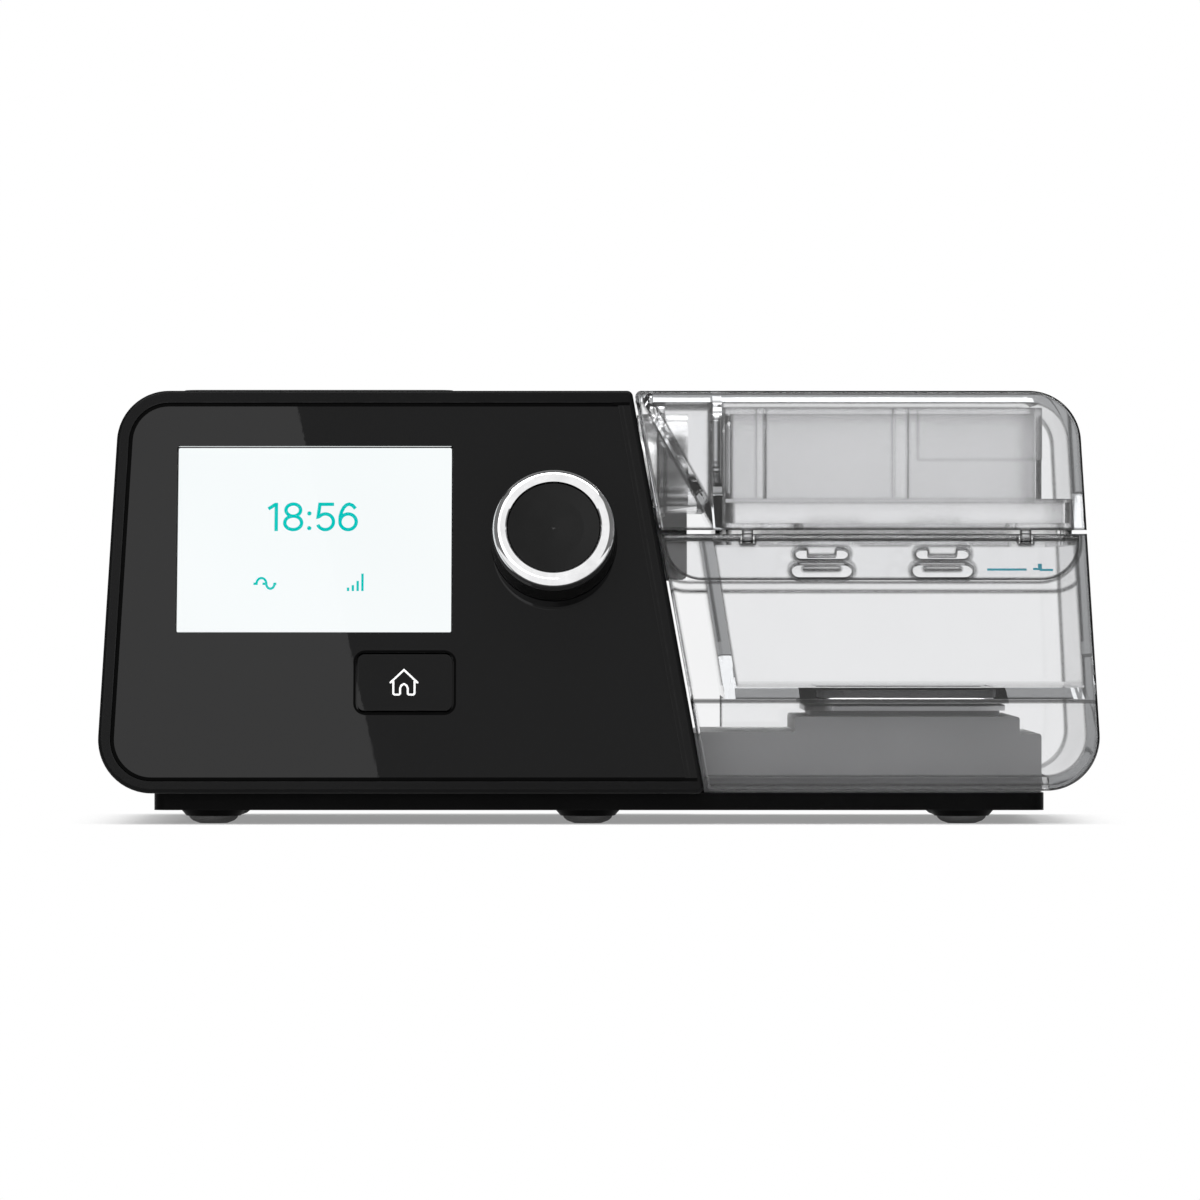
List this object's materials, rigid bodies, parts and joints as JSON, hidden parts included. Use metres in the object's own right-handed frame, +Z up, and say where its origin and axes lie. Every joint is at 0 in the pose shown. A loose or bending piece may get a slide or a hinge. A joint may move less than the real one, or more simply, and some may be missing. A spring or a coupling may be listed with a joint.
{
  "type": "cpap machine",
  "caption": "Table-top sleep-therapy blower with a leaning display face, press-and-turn knob, and a clear side water chamber with hinged lid and latch.",
  "frame": {"origin": "on the table, under the middle of the machine", "axes": "+X to the right seen from the front, +Y to the back, +Z up"},
  "size_m": [0.2649, 0.1572, 0.1158],
  "materials": {
    "housing_black": "satin moulded",
    "panel_black": "polished",
    "display_glass": "polished",
    "display_dark": "satin",
    "board_green": "solder mask",
    "switch_black": "moulded",
    "shaft_steel": "turned",
    "knob_chrome": "polished",
    "knob_black": "satin",
    "screw_steel": "zinc plated",
    "foot_rubber": "matte",
    "pad_rubber": "matte",
    "blower_plastic": "moulded",
    "motor_steel": "rolled can",
    "wheel_plastic": "moulded",
    "foam_grey": "open foam",
    "filter_white": "fibre pad",
    "card_blue": "moulded",
    "cage_steel": "stamped",
    "key_grey": "moulded",
    "deck_grey": "moulded",
    "heater_aluminium": "anodised",
    "skirt_silicone": "silicone",
    "spring_steel": "rolled",
    "clear_plastic": "clear moulded",
    "liner_pale": "translucent moulded",
    "baffle_grey": "translucent moulded",
    "seal_grey": "silicone"
  },
  "bodies": {
    "main": {"main_housing": "housing_black", "rear_cover": "housing_black", "rear_screws": "screw_steel", "top_switch": "switch_black", "base_plate": "housing_black", "feet": "foot_rubber", "front_panel": "panel_black", "display_lens": "display_glass", "display_module": "display_dark", "main_board": "board_green", "rotary_encoder": "shaft_steel", "home_switch": "switch_black", "blower_case_front": "blower_plastic", "blower_case_rear": "blower_plastic", "blower_motor": "motor_steel", "blower_cradle": "blower_plastic", "blower_pads": "pad_rubber", "blower_duct": "pad_rubber", "return_duct": "blower_plastic", "outlet_spigot": "housing_black", "silencer_foam": "foam_grey", "air_filter": "filter_white", "dc_inlet": "switch_black", "card_reader": "cage_steel", "dock_key": "key_grey", "heater_deck": "deck_grey", "heater_skirt": "skirt_silicone", "heater_spring": "spring_steel"},
    "knob_plunger": {"encoder_plunger": "shaft_steel"},
    "knob": {"knob_shaft": "shaft_steel", "knob_skirt": "knob_black", "knob_ring": "knob_chrome", "knob_cap": "knob_black"},
    "home_button": {"home_button": "panel_black"},
    "top_button": {"top_button": "housing_black"},
    "chamber": {"tub_shell": "clear_plastic", "tub_heat_plate": "heater_aluminium", "tub_plate_seal": "seal_grey", "hinge_pin": "shaft_steel"},
    "lid": {"lid_shell": "clear_plastic", "lid_gasket": "seal_grey", "lid_liner": "liner_pale", "air_baffle": "baffle_grey", "lid_port_seals": "seal_grey", "latch_pin": "shaft_steel"},
    "latch": {"lid_latch": "clear_plastic"},
    "filter_cover": {"filter_cover": "housing_black"},
    "memory_card": {"memory_card": "card_blue"},
    "heater_plate": {"heater_plate": "heater_aluminium"},
    "impeller": {"impeller": "wheel_plastic"}
  },
  "joints": [
    {"name": "knob_press", "type": "slide", "parent": "main", "child": "knob_plunger", "axis": [0, 0.9588, -0.284], "range_m": [0, 0.0006], "stiffness_N_per_m": 800, "springref_m": -0.001},
    {"name": "knob_turn", "type": "hinge", "parent": "knob_plunger", "child": "knob", "pos_m": [-0.012, -0.05912, 0.07532], "axis": [0, -0.9588, 0.284], "continuous": true},
    {"name": "home_button_press", "type": "slide", "parent": "main", "child": "home_button", "axis": [0, 0.9588, -0.284], "range_m": [0, 0.0005], "stiffness_N_per_m": 700, "springref_m": -0.0005},
    {"name": "top_button_press", "type": "slide", "parent": "main", "child": "top_button", "axis": [0, 0, -1], "range_m": [0, 0.0005], "stiffness_N_per_m": 800, "springref_m": -0.0005},
    {"name": "chamber_slide", "type": "slide", "parent": "main", "child": "chamber", "axis": [1, 0, 0], "range_m": [0, 0.115]},
    {"name": "lid_hinge", "type": "hinge", "parent": "chamber", "child": "lid", "pos_m": [0.079, 0.0556, 0.0774], "axis": [-1, 0, 0], "range_deg": [0, 100]},
    {"name": "latch_pivot", "type": "hinge", "parent": "lid", "child": "latch", "pos_m": [0.077, -0.05779, 0.0754], "axis": [-1, 0, 0], "range_deg": [0, 25]},
    {"name": "filter_cover_pull", "type": "slide", "parent": "main", "child": "filter_cover", "axis": [0, 1, 0], "range_m": [0, 0.02]},
    {"name": "memory_card_slide", "type": "slide", "parent": "main", "child": "memory_card", "axis": [0, 1, 0], "range_m": [0, 0.026]},
    {"name": "heater_plate_press", "type": "slide", "parent": "main", "child": "heater_plate", "axis": [0, 0, -1], "range_m": [0, 0.0012], "stiffness_N_per_m": 1500, "springref_m": -0.001, "deforming": ["heater_skirt", "heater_spring"]},
    {"name": "impeller_spin", "type": "hinge", "parent": "main", "child": "impeller", "pos_m": [-0.06, -0.014, 0.0729], "axis": [0, 1, 0], "continuous": true}
  ]
}
